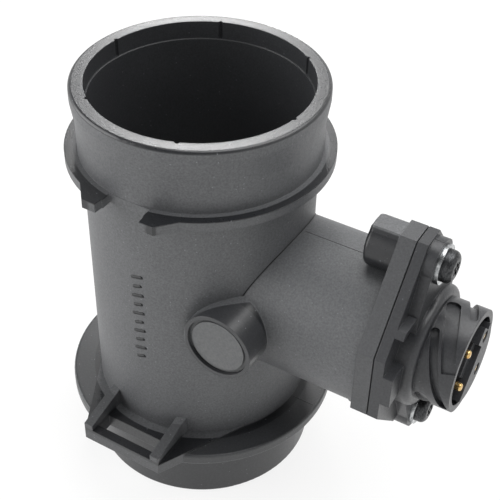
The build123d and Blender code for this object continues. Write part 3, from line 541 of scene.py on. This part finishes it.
# Painted board: white, with a trace of tone so that it isn't flat. Seen directly it is mixed with
# plain white in this share, so that it is a white ground that keeps a soft shadow.
WHITE_SHARE = 0.84
MOTTLES_PER_METRE = 6.0
floor_material, tree, place = new_material("white_painted_board")
mottle = add_node(tree, "ShaderNodeTexNoise",
                  {"Vector": place, "Scale": MOTTLES_PER_METRE, "Detail": 2.0})
tone = add_node(tree, "ShaderNodeValToRGB", {"Fac": mottle.outputs["Fac"]})
set_stops(tone, ((NOISE_LOW, linear("f2f2f1")), (NOISE_HIGH, linear("f7f7f6"))))
paint = add_node(tree, "ShaderNodeBsdfDiffuse", {"Color": tone.outputs["Color"], "Roughness": 0.4})
share = add_node(tree, "ShaderNodeMath", {0: direct_rays(tree), 1: WHITE_SHARE},
                 operation="MULTIPLY")
white = add_node(tree, "ShaderNodeEmission", {"Color": linear("ffffff"), "Strength": 1.0})
board = add_node(tree, "ShaderNodeMixShader",
                 {0: share.outputs[0], 1: paint.outputs[0], 2: white.outputs[0]})
add_node(tree, "ShaderNodeOutputMaterial", {"Surface": board.outputs[0]})
floor_mesh.materials.append(floor_material)

# Sines of the elevations where the white sweep ends and where only the dim room is left, the room's
# strength beside the sweep's 1, and the strength of the even light that falls on everything.
SWEEP_TOP = 0.42
SWEEP_FADE = 0.62
ROOM_SHADE = 0.12
FILL_STRENGTH = 0.5

world = bpy.data.worlds.new("studio")
bpy.context.scene.world = world
world.use_nodes = True
tree = world.node_tree
tree.nodes.clear()
fill = add_node(tree, "ShaderNodeBackground",
                {"Color": linear("ffffff"), "Strength": FILL_STRENGTH})
# The sweep is white up to its top edge. Above it reflections show the dim room, and the camera
# white.
towards = add_node(tree, "ShaderNodeSeparateXYZ",
                   {"Vector": add_node(tree, "ShaderNodeTexCoord").outputs["Generated"]})
sweep = add_node(tree, "ShaderNodeMapRange",
                 {"Value": towards.outputs["Z"], "From Min": SWEEP_TOP, "From Max": SWEEP_FADE,
                  "To Min": 1.0, "To Max": ROOM_SHADE}, interpolation_type="SMOOTHSTEP")
mirrored = add_node(tree, "ShaderNodeLightPath").outputs["Is Glossy Ray"]
seen = add_node(tree, "ShaderNodeMix",
                {"Factor": mirrored, FIRST_NUMBER: 1.0, SECOND_NUMBER: sweep.outputs[0]},
                data_type="FLOAT")
backdrop = add_node(tree, "ShaderNodeBackground",
                    {"Color": linear("ffffff"), "Strength": seen.outputs[0]})
sky = add_node(tree, "ShaderNodeMixShader",
               {0: direct_rays(tree), 1: fill.outputs[0], 2: backdrop.outputs[0]})
add_node(tree, "ShaderNodeOutputWorld", {"Surface": sky.outputs[0]})


def soft_lamp(name, position, aim, size, power):
    """A square area lamp at a position in metres, turned towards its aim. Power is in watts."""
    light = bpy.data.lights.new(name, "AREA")
    light.shape = "SQUARE"
    light.size = size
    light.energy = power
    lamp = bpy.data.objects.new(name, light)
    bpy.context.scene.collection.objects.link(lamp)
    direction = Vector(aim) - Vector(position)
    facing = direction.to_track_quat("-Z", "Y").to_matrix().to_4x4()
    lamp.matrix_world = Matrix.Translation(position) @ facing
    return lamp


# A small one behind glints on the rim's front. A wide one on the left shapes the tube, and a wide
# one above lights the branch from the top.
soft_lamp("softbox_back", (-0.65, 1.0, 0.92), (0.0, 0.0, 0.16), 0.25, 4.5)
soft_lamp("softbox_left", (-1.1, -0.66, 0.6), (0.0, 0.0, 0.09), 1.5, 21.0)
soft_lamp("softbox_right", (0.25, 0.3, 1.1), (0.05, 0.0, 0.09), 1.1, 16.0)

# ---------------------------------------------------------------- camera

# Where the eye is, in millimetres, which way it looks, how far it is rolled, and its focal length
# in pixels of a square frame.
EYE = np.array((173.588, -267.280, 355.351))
LOOK = np.array((-0.38099, 0.66773, -0.63952))
ROLL = radians(1.524)
FOCAL_PIXELS = 1076.04
FRAME_PIXELS = 500
SENSOR_WIDTH = 36.0

look = LOOK / np.linalg.norm(LOOK)
level_right = np.cross(look, (0, 0, 1))
level_right = level_right / np.linalg.norm(level_right)
level_up = np.cross(level_right, look)
right = cos(ROLL) * level_right + sin(ROLL) * level_up
up = -sin(ROLL) * level_right + cos(ROLL) * level_up
lens = bpy.data.cameras.new("camera")
lens.sensor_width = SENSOR_WIDTH
lens.lens = FOCAL_PIXELS / FRAME_PIXELS * SENSOR_WIDTH
lens.clip_start = 0.01
lens.clip_end = 20.0
camera = bpy.data.objects.new("camera", lens)
bpy.context.scene.collection.objects.link(camera)
turn = Matrix(np.stack([right, up, -look], axis=1).tolist())
camera.matrix_world = Matrix.Translation(Vector(EYE * MM)) @ turn.to_4x4()
bpy.context.scene.camera = camera

bpy.context.scene.view_settings.view_transform = "Standard"
